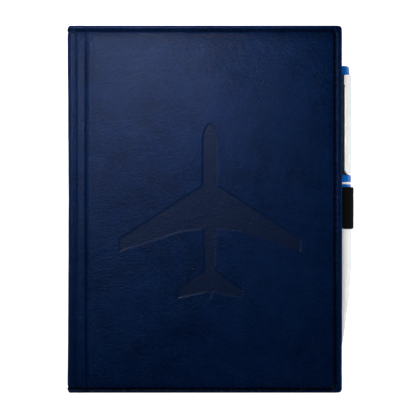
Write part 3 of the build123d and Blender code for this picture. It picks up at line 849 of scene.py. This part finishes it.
def build_pocket(front):
    """Leatherette pocket, glued down on three edges, with a hemmed mouth and room for the pen loop."""
    name = "front" if front else "back"
    low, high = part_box(name + "_sleeve")
    t = 0.35 * MM
    hem = 4.0 * MM
    seam = 2.6 * MM
    rim = 1.7 * MM
    side = 3 * MM
    lift = (high.z - low.z) - t / 2 - 0.03 * MM
    glued = t / 2 + 0.02 * MM
    play = 0.9 * MM
    notch_low, notch_high = loop_low.y - play, loop_high.y + play
    across = spaced([(0.0, 0.004), (0.06, 0.03), (0.92, 0.004), (1.0, 1)])
    rows = [(low.y, 0.35 * MM), (low.y + side, 3 * MM)]
    if not front:
        rows += [(notch_low - 3 * MM, 0.3 * MM), (notch_low + 2 * MM, 1.5 * MM)]
        rows += [(notch_high - 2 * MM, 0.3 * MM), (notch_high + 3 * MM, 3 * MM)]
    rows = spaced(rows + [(high.y - side, 0.35 * MM), (high.y, 1)])
    f, y = np.meshgrid(across, rows, indexing="ij")
    reach = np.full_like(y, high.x)
    if not front:
        ease = 1.2 * MM
        inside = smoothstep(notch_low - ease, notch_low, y) * smoothstep(notch_high + ease, notch_high, y)
        reach = high.x + (loop_low.x - play - high.x) * inside
    x = low.x + (reach - low.x) * f
    edge = np.minimum(reach - x, np.minimum(y - low.y, high.y - y))
    height = glued + (lift - glued) * smoothstep(0, rim, edge)
    from_mouth = x - low.x
    thick = t * (1 + 0.55 * smoothstep(hem, hem - 0.5 * MM, from_mouth))
    height -= (thick - t) / 2
    height -= 0.1 * MM * bell(from_mouth, seam, 0.4 * MM) * smoothstep(0, rim, edge)
    centre = np.stack([x, y, panel_z(front, PANEL_T + height)], -1)
    up = (0, 0, -1 if front else 1)
    shell = sheet_shell(centre, np.array(up, float), thick)
    piece(name + "_pocket", [shell], M_POCKET, name + "_cover", "pocket", name + "_sleeve")
    z = panel_z(front, PANEL_T + lift + 0.06 * MM)
    shells = []
    count = int((high.y - low.y - 2 * side) / STITCH_PITCH)
    for k in range(count):
        y0 = (low.y + high.y) / 2 + (k - (count - 1) / 2) * STITCH_PITCH
        at = (low.x + seam, y0, z)
        shells.extend(stitch(at, (0, 1, 0), up, STITCH_LENGTH, 0.16 * MM, rng.uniform(0, 6)))
    piece(name + "_pocket_stitches", shells, M_THREAD, name + "_cover", "thread")


def build_card(front):
    """End card of the page block: cloth-jointed board with eased edges and a scored line by the spine."""
    name = "front" if front else "back"
    low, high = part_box(name + "_card")
    inset = 0.15 * MM
    xs = spaced([(low.x + inset, 0.3 * MM), (low.x + 8 * MM, 4 * MM), (high.x - inset, 1)])
    ys = spaced([(low.y + inset, 4 * MM), (high.y - inset, 1)])
    x, y = np.meshgrid(xs, ys, indexing="ij")
    thick = high.z - low.z - 0.06 * MM - 0.16 * MM * bell(x, low.x + 5 * MM, 0.4 * MM)
    centre = np.stack([x, y, np.full_like(x, (low.z + high.z) / 2)], -1)
    shell = sheet_shell(centre, np.array((0, 0, 1.0)), thick, 0.3)
    piece(name + "_end_card", [shell], M_CARD, name + "_cover", "card", name + "_card")


# ---------------- page block
def build_signature(number, body):
    """A gathering of folded leaves, drawn in at the thread holes and trimmed a little unevenly."""
    node = "signature_%02d" % number
    low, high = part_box(node)
    depth = high.z - low.z
    middle = (low.z + high.z) / 2
    pitch = depth / (2 * SHEETS)
    leaf = 0.78 * pitch
    fold_x = low.x + depth / 2
    stations = thread_stations()
    hole = 1.2 * MM
    stops = []
    at = low.y
    for y in stations:
        stops += [(at, 4 * MM), (y - hole, 0.3 * MM)]
        at = y + hole
    rows = spaced(stops + [(at, 4 * MM), (high.y, 1)])
    run = np.concatenate([[0.0, 0.5, 1.2, 2.4, 4.5, 8.0], np.linspace(14, 114, 9)]) * MM
    half_turn = np.linspace(0, math.pi, 9)[1:-1]
    shells = []
    for m in range(SHEETS):
        h = depth / 2 - (m + 0.5) * pitch
        trims = rng.uniform(0.0, 0.16 * MM, 2)
        lower = [(min(fold_x + d, high.x - trims[0]), middle - h) for d in run[::-1]]
        lower.insert(0, (high.x - trims[0], middle - h))
        upper = [(min(fold_x + d, high.x - trims[1]), middle + h) for d in run]
        upper.append((high.x - trims[1], middle + h))
        arc = [(fold_x - h * math.sin(a), middle - h * math.cos(a)) for a in half_turn]
        centre, normal = swept(lower + arc + upper, rows)
        x, y = centre[..., 0], centre[..., 1].copy()
        pull = sum(bell(y, s, 0.45 * MM) for s in stations)
        x += 0.95 * MM * pull * np.exp(-np.clip(x - low.x, 0, None) / (1.1 * MM))
        span = (high.y - low.y) / 2
        centre[..., 1] *= 1 - rng.uniform(0.0, 0.12 * MM) / span
        centre[..., 2] += 0.012 * MM * ripples(x, y, 30 * MM, 6, 31)
        shells.append(sheet_shell(centre, normal, leaf, 0.1))
    piece(node + "_leaves", shells, M_RULED, body, "paper", node, angle=50)


def thread_stations():
    """Centres along Y of the sewing holes, the same distance apart over the page block."""
    low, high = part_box("back_sewing_thread")
    radius = (high.x - low.x) / 2
    return list(np.linspace(low.y + radius, high.y - radius, SEWING_HOLES))


def build_binding(side, body):
    """Woven tape down the folds, and the twisted sewing thread in each hole."""
    low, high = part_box(side + "_spine_tape")
    zs = np.linspace(low.z + 0.25 * MM, high.z - 0.25 * MM, 12)
    ys = spaced([(low.y + 0.2 * MM, 1.2 * MM), (high.y - 0.2 * MM, 1)])
    z, y = np.meshgrid(zs, ys, indexing="ij")
    x = low.x + 0.22 * MM + 0.04 * MM * ripples(z, y, 5 * MM, 8, 41)
    shell = sheet_shell(np.stack([x, y, z], -1), np.array((-1.0, 0, 0)), 0.3 * MM)
    piece(side + "_woven_tape", [shell], M_TAPE, body, "tape", side + "_spine_tape")
    low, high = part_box(side + "_sewing_thread")
    radius = (high.x - low.x) / 2
    shells = []
    for y0 in thread_stations():
        zs = np.linspace(low.z + 0.1 * MM, high.z - 0.1 * MM, 40)
        path = [((low.x + high.x) / 2, y0, v) for v in zs]
        shells.extend(twisted(path, radius, 1.1 * MM, rng.uniform(0, 6)))
    piece(side + "_twisted_thread", shells, M_COTTON, body, "sewing_thread", side + "_sewing_thread")


# ---------------- pen loop
def build_loop():
    """Ribbed elastic: down from the tail's upper ply over the pen and back under it to the lower ply."""
    t = 0.7 * MM
    ring = (loop_high.x - PEN_X) - t / 2
    ply = 0.3 * MM
    upper = loop_low.z + 3 * ply
    lower = loop_low.z + ply
    tail_x = loop_low.x
    knee_x = PEN_X - 5.0 * MM
    left = math.radians(200)
    turn = np.linspace(left, math.radians(-90), 60)
    path = [(x, upper) for x in np.linspace(tail_x, knee_x - 0.8 * MM, 6)]
    touch = np.array((PEN_X + ring * math.cos(left), PEN_Z + ring * math.sin(left)))
    start = np.array((knee_x - 0.8 * MM, upper))
    knee = np.array((knee_x + 0.25 * MM, upper + 0.25 * MM))
    rise = touch + unit(np.array((math.sin(left), -math.cos(left)))) * -2.0 * MM
    for s in np.linspace(0, 1, 12)[1:-1]:
        a = (1 - s) ** 3 * start + 3 * s * (1 - s) ** 2 * knee + 3 * s * s * (1 - s) * rise + s ** 3 * touch
        path.append(tuple(a))
    path += [(PEN_X + ring * math.cos(a), PEN_Z + ring * math.sin(a)) for a in turn]
    under = 3.2 * MM
    for s in np.linspace(0, 1, 8)[1:]:
        path.append((PEN_X - s * under, PEN_Z - ring + (lower - PEN_Z + ring) * s * s * (3 - 2 * s)))
    path += [(x, lower) for x in np.linspace(PEN_X - under, tail_x, 8)[1:]]
    rows = spaced([(loop_low.y + 0.15 * MM, 0.16 * MM), (loop_high.y - 0.15 * MM, 1)])
    centre, normal = swept(path, rows)
    along = np.cumsum(np.linalg.norm(np.diff(centre[:, 0], axis=0, prepend=centre[:1, 0]), axis=-1))
    rib = np.cos(2 * math.pi * (rows - rows[0]) / (0.95 * MM))
    at_end = smoothstep(along[-1] - 7.0 * MM, along[-1] - 4.0 * MM, along)
    on_tail = np.maximum(smoothstep(3.4 * MM, 2.0 * MM, along), at_end)
    thick = t * (1 - 0.22 * on_tail)[:, None] + 0.09 * MM * rib[None, :] * (1 - 0.5 * on_tail)[:, None]
    shift = 0.12 * MM * ripples(centre[..., 0] + centre[..., 2], np.zeros_like(centre[..., 0]), 9 * MM, 5, 51)
    centre[..., 1] += shift * np.abs(centre[..., 1] - centre[..., 1].mean()) / (10 * MM)
    shell = sheet_shell(centre, normal, thick, 0.35)
    piece("elastic_loop", [shell], M_ELASTIC, "back_cover", "elastic", "pen_loop")
    low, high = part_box("pen_loop_tack")
    x0 = (low.x + high.x) / 2
    pitch = (loop_high.y - loop_low.y) / TACKS
    shells = []
    for row in (-0.55 * MM, 0.55 * MM):
        for k in range(TACKS):
            at = (x0 + row, loop_low.y + (k + 0.5) * pitch, low.z - 0.02 * MM)
            shells.extend(stitch(at, (0, 1, 0), (0, 0, 1), 0.8 * pitch, 0.2 * MM, rng.uniform(0, 6)))
    piece("loop_tacking", shells, M_THREAD, "back_cover", "thread", "pen_loop_tack")


# ---------------- pen
def radius_of(node):
    low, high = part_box(node)
    return (high.x - low.x) / 2


def turned(name, outline, material, body, slot, node=None, angle=50, segments=96):
    """A piece turned about the pen's axis."""
    shell = lathe_shell(outline, segments)
    piece(name, [shell], material, body, slot, node or "pen_" + name, angle=angle)


def pen_ring(name, body, material, slot, detail, bore, grooves=()):
    """A turned sleeve with eased ends and fine grooves."""
    low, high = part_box("pen_" + name)
    r = radius_of("pen_" + name)
    outline = [(low.y, bore), (low.y, r)]
    for g, width, depth in grooves:
        half = width * 0.5
        outline += [(g - width, r), (g - half, r - depth), (g + half, r - depth), (g + width, r)]
    outline += [(high.y, r), (high.y, bore)]
    turned(name, softened(outline, detail), material, body, slot, angle=60)


def eased(profile, top, bottom, count, passes):
    """Points down a measured profile, with its corners eased."""
    at = np.array(profile)[::-1] * MM
    ys = np.linspace(top, bottom, count)
    radii = np.interp(ys, at[:, 0], at[:, 1])
    for _ in range(passes):
        radii[1:-1] = (radii[:-2] + 2 * radii[1:-1] + radii[2:]) / 4
    return ys, radii


def build_pen():
    play = 0.1 * MM
    bore = radius_of("pen_cam_sleeve") + play
    low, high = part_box("pen_crown")
    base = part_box("pen_clip_collar")[1].y
    r = radius_of("pen_crown")
    crown = [(low.y, 0), (low.y, bore - play), (base, bore - play)]
    for up, inset in ((0, 0.15), (0.35, 0), (0.7, 0.02), (0.85, 0.17), (1.0, 0.04)):
        crown.append((base + up * MM, r - inset * MM))
    dome_r = 1.15 * MM
    top_r = r - 0.28 * MM
    crown += [(high.y - s, top_r - c) for s, c in quarter_turn(dome_r, 9)]
    for down, radius in ((0, 2.9), (0.25, 2.6), (0.2, 1.2), (0.18, 0)):
        crown.append((high.y - down * MM, radius * MM))
    turned("crown_button", crown, M_BLUE, "pen", "pen_blue", "pen_crown", 40)
    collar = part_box("pen_clip_collar")
    grooves = [(collar[0].y + d * MM, 0.14 * MM, 0.12 * MM) for d in (0.5, 2.6)]
    pen_ring("clip_collar", "pen", M_BLACK, "pen_black", 0.15 * MM, bore, grooves)
    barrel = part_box("pen_upper_barrel")
    grooves = [(y, 0.16 * MM, 0.12 * MM) for y in (barrel[0].y + 1.2 * MM, barrel[1].y - 1.0 * MM)]
    pen_ring("upper_barrel", "pen", M_BLACK, "pen_black", 0.2 * MM, bore, grooves)
    pen_ring("upper_ring", "pen", M_BLUE, "pen_blue", 0.35 * MM, bore)
    pen_ring("white_ring", "pen", M_WHITE, "pen_white", 0.18 * MM, bore)
    pen_ring("lower_ring", "pen_lower_half", M_BLUE, "pen_blue", 0.3 * MM, bore)

    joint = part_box("pen_nose_cone")[1].y
    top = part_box("pen_lower_ring")[0].y
    ys, radii = eased(BARREL, top, joint, 60, 12)
    inner = radius_of("pen_refill_tube") + 0.4 * MM
    wide = inner + 0.7 * MM
    step = 0.12 * MM
    outline = [(lower_high.y, wide), (lower_high.y, bore - play), (top, bore - play)]
    outline += [(top, radii[0] - 0.2 * MM), *zip(ys[1:-1], radii[1:-1])]
    outline += [(joint + step, radii[-1]), (joint, radii[-1] - step), (joint, inner), (BORE_END, wide)]
    turned("lower_barrel", outline, M_WHITE, "pen_lower_half", "pen_white", segments=128)
    ys, radii = eased(NOSE, NOSE[0][0] * MM, NOSE[-1][0] * MM, 24, 4)
    tip_r = 0.85 * MM
    outline = [(ys[0], radii[0] - 0.15 * MM), *zip(ys[1:], radii[1:])]
    outline += [(ys[-1], tip_r), (REFILL_STOP, tip_r), (REFILL_SHOULDER, 1.7 * MM), (ys[0], 1.9 * MM)]
    turned("nose_cone", outline, M_WHITE, "pen_lower_half", "pen_white")
    low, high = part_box("pen_refill_point")
    ball = 0.32 * MM
    outline = [(high.y, 0), (high.y, 1.0 * MM), (high.y - 1.5 * MM, 1.0 * MM)]
    outline += [(high.y - 2.5 * MM, 0.55 * MM), (low.y + 1.6 * MM, 0.5 * MM)]
    turn = np.linspace(math.pi * 0.6, 0, 7)
    outline += [(low.y + ball * (1 - math.cos(a)), ball * math.sin(a)) for a in turn]
    turned("writing_point", outline, M_BRASS, "pen_refill", "refill_metal", "pen_refill_point", 40, 48)
    for node in ("pen_cam_sleeve", "pen_cam_follower", "pen_refill_tube"):
        inner_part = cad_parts[node]
        inner_part.data.materials.clear()
        inner_part.data.materials.append(M_MECHANISM)


def round_pen(radius, angle, y):
    """Points at a radius and an angle about the pen's axis, and the directions out from it."""
    normal = np.stack([np.sin(angle), np.zeros_like(angle), np.cos(angle)], -1)
    centre = np.stack([PEN_X + radius * np.sin(angle), y, PEN_Z + radius * np.cos(angle)], -1)
    return centre, normal


def build_clip():
    """Sprung clip: a curved tongue with a nick below its wider root and a bead under its tip."""
    outer = 6.2 * MM
    t = 1.0 * MM
    radius = outer - t / 2
    low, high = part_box("pen_clip")
    half_w = 2.35 * MM
    eased_end = 0.03 * MM
    ys = spaced([(low.y + eased_end, 0.08 * MM), (low.y + 2.4 * MM, 1.0 * MM), (high.y - 6.5 * MM, 0.2 * MM),
                 (high.y - eased_end, 1)])
    f, y = np.meshgrid(np.linspace(-1, 1, 15), ys, indexing="ij")
    tip = np.clip(1 - (y - low.y) / (2.45 * MM), 0, 1)
    root = np.clip(1 - (high.y - y) / (0.9 * MM), 0, 1)
    narrowed = 1 - 0.18 * (1 - np.sqrt(np.clip(1 - root * root, 0, 1)))
    width = half_w * np.sqrt(np.clip(1 - tip * tip, 0.004, 1)) * narrowed
    nick = high.y - 5.4 * MM
    width += 0.25 * MM * smoothstep(nick, high.y - 4.4 * MM, y)
    width -= 0.28 * MM * bell(y, nick, 0.5 * MM) * (f < 0)
    angle = math.radians(CLIP_ANGLE) + f * width / radius
    bead = 0.55 * MM * np.exp(-((f * width / (0.8 * MM)) ** 2) - ((y - low.y - 3.5 * MM) / (0.8 * MM)) ** 2)
    lip = 0.25 * MM * smoothstep(low.y + 3.0 * MM, low.y, y)
    crown = 0.1 * MM * (1 - f * f)
    centre, normal = round_pen(radius - bead / 2 - lip * 0.3, angle, y)
    blade = sheet_shell(centre, normal, 0.8 * t + crown + bead - lip * 0.4, 0.3)
    ys = np.linspace(high.y - 3.0 * MM, high.y - 0.6 * MM, 6)
    y, f = np.meshgrid(ys, np.linspace(-1, 1, 5), indexing="ij")
    centre, normal = round_pen(5.13 * MM, math.radians(CLIP_ANGLE) + f * 1.3 * MM / radius, y)
    foot = sheet_shell(centre, normal, 0.34 * MM, 0.2)
    piece("spring_clip", [blade, foot], M_WHITE, "pen_clip", "pen_white", "pen_clip")


def build_inside():
    for front in (True, False):
        build_lining(front)
        build_pocket(front)
        build_card(front)
    for number in range(1, SIGNATURES + 1):
        build_signature(number, "front_pages" if number <= SIGNATURES // 2 else "back_cover")
    build_binding("front", "front_pages")
    build_binding("back", "back_cover")


def build_stitching():
    for name, front in (("front", True), ("back", False)):
        shells = seam_stitches(front)
        piece(name + "_seam_stitches", shells, M_THREAD, name + "_cover", "thread", name + "_cover_stitching")
    piece("spine_seam_stitches", spine_stitches(), M_THREAD, "spine", "thread", "spine_stitching")


# ---------------- floor, light and camera
CAMERA_UP = 1.2
VIEW_WIDTH = 203.3 * MM
VIEW_AT = (2.5 * MM, -0.4 * MM)


def emission_material(name, color, strength):
    material = bpy.data.materials.new(name)
    material.use_nodes = True
    shader = material.node_tree.nodes["Principled BSDF"]
    set_inputs(shader, Base_Color=(0.8, 0.8, 0.8, 1), Roughness=0.9)
    set_inputs(shader, Emission_Color=(*color, 1), Emission_Strength=strength)
    return material


def build_stage():
    scene = bpy.context.scene
    scene.view_settings.view_transform = "Standard"
    bpy.ops.mesh.primitive_circle_add(vertices=96, radius=3.0, fill_type="NGON", location=(0, 0, -0.02 * MM))
    floor = bpy.context.object
    floor.name = "floor"
    floor.data.materials.append(emission_material("floor", (1.0, 1.0, 1.0), 0.99))
    bpy.ops.mesh.primitive_uv_sphere_add(segments=48, ring_count=24, radius=2.95)
    dome = bpy.context.object
    dome.name = "backdrop"
    dome.data.materials.append(emission_material("backdrop", (1.0, 1.0, 1.0), 0.97))
    for ray in ("visible_diffuse", "visible_glossy", "visible_transmission", "visible_shadow"):
        setattr(dome, ray, False)
    world = bpy.data.worlds.new("studio")
    world.use_nodes = True
    set_inputs(world.node_tree.nodes["Background"], Color=(1, 1, 1, 1), Strength=0.01)
    scene.world = world


def softbox(name, at, aim, size, power, spread=180.0):
    light = bpy.data.lights.new(name, "AREA")
    light.shape = "RECTANGLE"
    light.size, light.size_y = size
    light.energy = power
    light.spread = math.radians(spread)
    obj = bpy.data.objects.new(name, light)
    obj.location = at
    obj.rotation_euler = (Vector(aim) - Vector(at)).to_track_quat("-Z", "Y").to_euler()
    obj.visible_camera = False
    bpy.context.scene.collection.objects.link(obj)


def build_lights():
    softbox("key", (-0.016, 0.056, 0.155), (-0.016, 0.050, 0.0), (0.12, 0.08), 0.037)
    softbox("side", (-0.10, 0.06, 0.19), (0.0, 0.010, 0.0), (0.10, 0.10), 0.165)
    softbox("head", (-0.030, 0.091, 0.125), (-0.030, 0.089, 0.0), (0.07, 0.010), 0.084)
    softbox("fore_fill", (0.36, -0.44, 0.10), (0.0, 0.0, 0.01), (0.3, 0.12), 1.0)
    softbox("spine_fill", (-0.44, 0.38, 0.10), (0.0, 0.0, 0.01), (0.3, 0.12), 0.8)
    softbox("pen_strip", (0.0725, 0.0, 0.13), (0.0725, 0.0, 0.0), (0.010, 0.2), 0.0085, 4.0)


def build_camera():
    camera = bpy.data.cameras.new("camera")
    camera.sensor_width = 36.0
    camera.lens = camera.sensor_width * CAMERA_UP / VIEW_WIDTH
    camera.clip_start = 0.05
    camera.clip_end = 20.0
    obj = bpy.data.objects.new("camera", camera)
    obj.location = (VIEW_AT[0], VIEW_AT[1], TOP + CAMERA_UP)
    bpy.context.scene.collection.objects.link(obj)
    bpy.context.scene.camera = obj


build_camera()
build_lights()
build_stage()
build_wraps()
build_stitching()
build_inside()
build_loop()
build_pen()
build_clip()
